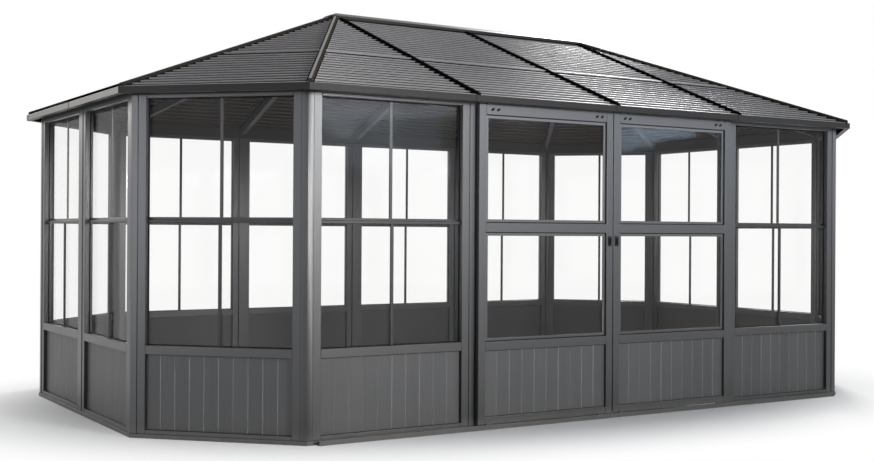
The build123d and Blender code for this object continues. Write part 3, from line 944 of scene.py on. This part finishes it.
def screw(mesh, x, z, depth, radius, place):
    """A domed screw head that faces out of the wall."""
    put = place @ Matrix.Translation((x, depth, z)) @ facing_out
    bmesh.ops.create_cone(mesh, cap_ends=True, segments=12, radius1=radius, radius2=radius * 0.7,
                          depth=radius * 0.6, matrix=put)


for hand, (left, right_end) in door_spans.items():
    middle = right_end - door_stile / 2 if hand == "left" else left + door_stile / 2
    mesh = bmesh.new()
    plate = block(mesh, (middle - latch_half, door_face - latch_depth, latch_low),
                  (middle + latch_half, door_face, latch_high), front_wall.place)
    soften(mesh, edges_of(plate), latch_round, 3)
    pull = block(mesh, (middle - pull_half, door_face - pull_reach, pull_low),
                 (middle + pull_half, door_face - pull_foot, pull_high), front_wall.place)
    soften(mesh, edges_of(pull), pull_round, 3)
    for z in screw_heights:
        screw(mesh, middle, z, door_face - screw_depth, screw_radius, front_wall.place)
    piece(mesh, hand + "_door_latch_set", [latch_black], hand + "_door", [hand + "_door_latch"])

# %% [markdown]
# ## Slots
# Two pairs of slots in each door's top rail let the hangers be adjusted. A slot is a black oval grommet: a disc,
# stretched and leaned over, raised by an extrusion, inset, and pushed in to leave a lip. No hole is cut in the rail:
# the black of the grommet is painted shade that stands for the dark inside of the slot.

# %% Slots
slot_places = {"left": (-0.984, -0.940, -0.143, -0.100), "right": (0.100, 0.143, 0.940, 0.984)}
slot_height, slot_radius = 2.013, 0.0085
lip_height, lip_width, lip_drop = 0.0012, 0.0016, 0.0009
lean = Matrix.Rotation(radians(-28), 4, "Y") @ Matrix.Diagonal((1.7, 1, 0.95, 1))
for hand, places in slot_places.items():
    mesh = bmesh.new()
    for x in places:
        put = front_wall.place @ Matrix.Translation((x, door_face, slot_height)) @ lean @ facing_out
        oval = bmesh.ops.create_circle(mesh, cap_ends=True, segments=20, radius=slot_radius, matrix=put)["verts"]
        grown = bmesh.ops.extrude_face_region(mesh, geom=oval[0].link_faces[:])["geom"]
        raised = [part for part in grown if isinstance(part, bmesh.types.BMVert)]
        bmesh.ops.translate(mesh, verts=raised, vec=(0, -lip_height, 0))
        top = [part for part in grown if isinstance(part, bmesh.types.BMFace)]
        bmesh.ops.inset_region(mesh, faces=top, thickness=lip_width, depth=-lip_drop)
    # painted shade: the black oval stands for the dark inside of the slot
    piece(mesh, hand + "_door_slots", [gasket_black], hand + "_door")

# %% [markdown]
# ## Floor and world
# The object stands on a plain pale floor in front of white. The world is white only to rays that look at it, directly
# or in metal and glass; what it sheds on the object is a plain low light. The floor keeps the shadow near the object
# and turns to white further out, in an oval as long as the room.

# %% Floor and world
floor_size, floor_drop = 60, 0.001
shadow_stretch, shadow_stop, white_start = (0.72, 1.0, 1.0), 1.9, 3.2
low_light = (0.14, 0.147, 0.16)

scene = bpy.context.scene
floor_mesh = bmesh.new()
bmesh.ops.create_grid(floor_mesh, x_segments=8, y_segments=8, size=floor_size)
floor_data = bpy.data.meshes.new("floor")
floor_mesh.to_mesh(floor_data)
floor_mesh.free()
floor = bpy.data.objects.new("floor", floor_data)
floor.location.z = -floor_drop
scene.collection.objects.link(floor)
floor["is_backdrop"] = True


def seen(start):
    """One for rays that look: from the camera, or reflected or let through on the way."""
    rays = [start.node("LightPath", {}, {}, f"Is {kind} Ray") for kind in ("Camera", "Glossy", "Transmission")]
    return rays[0].most(rays[1]).most(rays[2])


pale, place = new_finish("pale_floor")
grounds = place.stretched(shadow_stretch)
distance = grounds.node("VectorMath", {"operation": "LENGTH"}, {0: grounds}, "Value")
far_out = 1 - distance.fade(shadow_stop, white_start)
matt = place.node("BsdfDiffuse", {}, {"Color": place.noise(3.0).tint((0.88, 0.88, 0.87), (0.92, 0.92, 0.91))})
white = place.node("Emission", {}, {"Color": (1, 1, 1, 1), "Strength": 1.0})
mixed = place.node("MixShader", {}, {0: far_out * seen(place), 1: matt, 2: white})
place.node("OutputMaterial", {}, {"Surface": mixed})
floor_data.materials.append(pale)

world = bpy.data.worlds.new("studio")
scene.world = world
world.use_nodes = True
world.node_tree.nodes.clear()
start = Wire(world.node_tree)
backdrop = start.node("Background", {}, {"Color": seen(start).tint(low_light, (1, 1, 1)), "Strength": 1.0})
start.node("OutputWorld", {}, {"Surface": backdrop})
print("floor and world ready")

# %% [markdown]
# ## Lamps
# Area lamps take the place of the sky. Most are large and soft, and set the level of the walls and the roof. The key
# lamp picks out the corner post at the front left, and the rear lamp the courses of the roof. The two glint lamps are
# small and weak: they are there to be mirrored in the front panes, as patches of blue sky. A row gives a lamp's place,
# what it looks at, its width and height, its spread in degrees, its power in watts and its colour.

# %% Lamps
lamps = {
    "front_sky": ((8.6, -11.6, 5.35), (0.4, -1.8, 1.5), (11.5, 4.4), 180, 450, (0.78, 0.89, 1.0)),
    "left_glint": ((5.34, -14.33, 2.9), (-1.7, -1.85, 1.8), (2.2, 1.2), 180, 12, (0.66, 0.83, 1.0)),
    "right_glint": ((8.98, -11.28, 3.05), (0.5, -1.85, 1.9), (1.3, 0.6), 180, 17, (0.56, 0.78, 1.0)),
    "key_lamp": ((1.3, -12.3, 3.3), (-2.4, -1.8, 1.9), (2.1, 2.8), 60, 94, (1.0, 0.99, 0.98)),
    "left_lamp": ((-11.7, -3.3, 1.9), (-3.0, -1.1, 1.4), (0.9, 3.0), 180, 150, (0.86, 0.93, 1.0)),
    "back_left_lamp": ((-5.8, 9.7, 4.1), (-3.1, 0.0, 2.0), (3.0, 1.4), 180, 215, (1.0, 0.96, 0.91)),
    "rear_lamp": ((9.98, 8.1, 9.0), (1.2, -0.8, 2.4), (2.0, 3.0), 180, 2150, (1.0, 0.99, 0.98)),
    "top_lamp": ((0.4, 1.2, 9.0), (0.2, 0.0, 2.4), (6.0, 5.0), 180, 220, (0.98, 0.99, 1.0)),
}
for name, (spot, aim, (wide, tall), spread, power, colour) in lamps.items():
    light = bpy.data.lights.new(name, "AREA")
    light.shape, light.size, light.size_y, light.energy, light.color = "RECTANGLE", wide, tall, power, colour
    light.spread = radians(spread)
    lamp = bpy.data.objects.new(name, light)
    lamp.location = spot
    lamp.rotation_euler = (Vector(aim) - Vector(spot)).to_track_quat("-Z", "Y").to_euler()
    lamp.visible_camera = False
    scene.collection.objects.link(lamp)
print("lamps:", ", ".join(lamps))

# %% [markdown]
# The looks should keep the room within the box of its solids, so how far they grow past it is printed.

# %% Finish
low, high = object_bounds()
print("grown by", [round(side * 1000, 2) for side in (*(cad_low - low), *(high - cad_high))], "mm")
